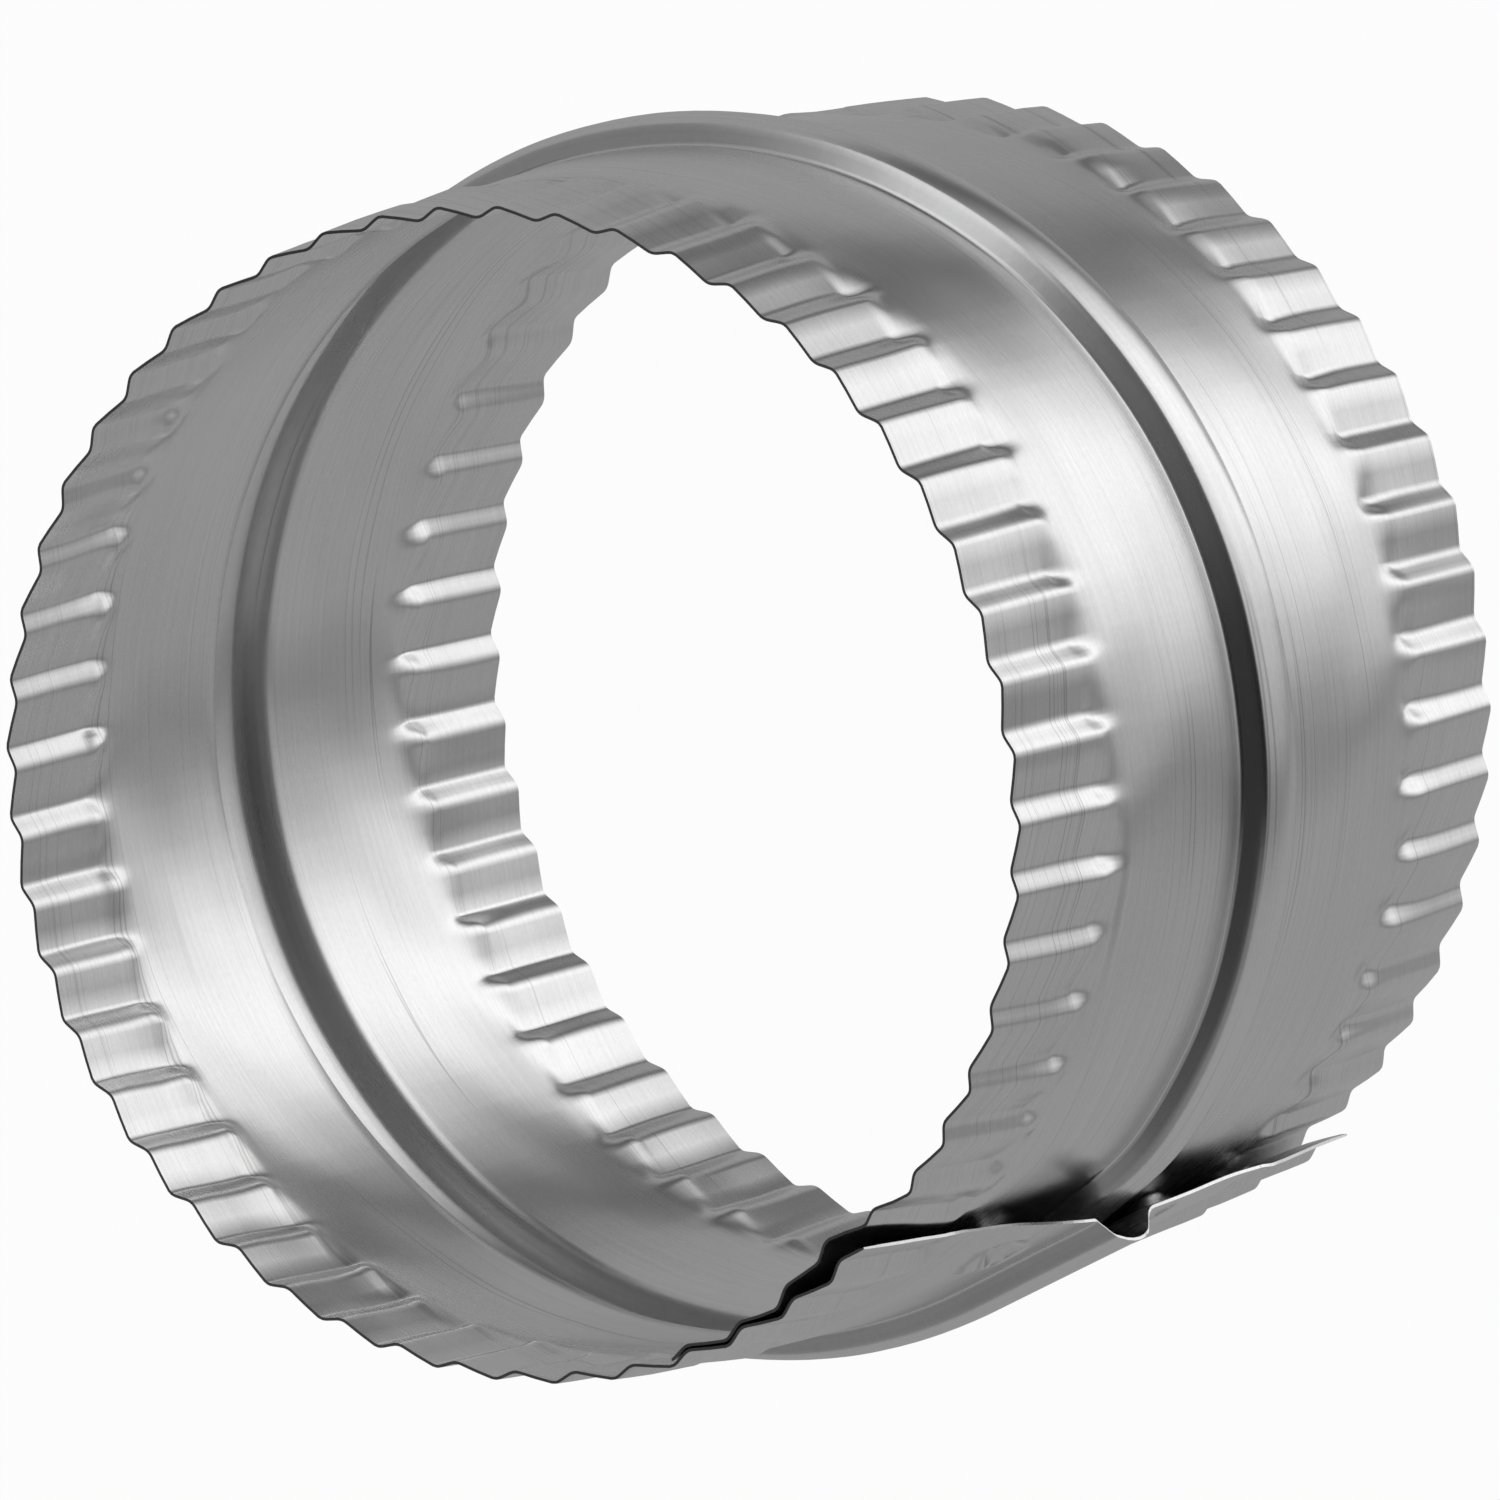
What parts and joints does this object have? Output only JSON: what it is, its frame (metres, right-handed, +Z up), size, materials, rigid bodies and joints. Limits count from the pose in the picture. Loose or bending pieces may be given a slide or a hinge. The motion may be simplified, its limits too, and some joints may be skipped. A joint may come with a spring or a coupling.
{
  "type": "duct connector",
  "caption": "Short sheet-metal sleeve that joins the ends of two round ducts of one size, with a raised bead at mid length, crimped ends and a clinched lap seam.",
  "frame": {"origin": "on the tube's axis, level with its lower rim", "axes": "+Z up along the tube's axis; +X through the middle of the lap seam"},
  "size_m": [0.1077, 0.1066, 0.078],
  "materials": {
    "sheet": "satin mill finish with fine rolling lines"
  },
  "bodies": {
    "root": {"connector_sleeve": "sheet"}
  },
  "joints": []
}
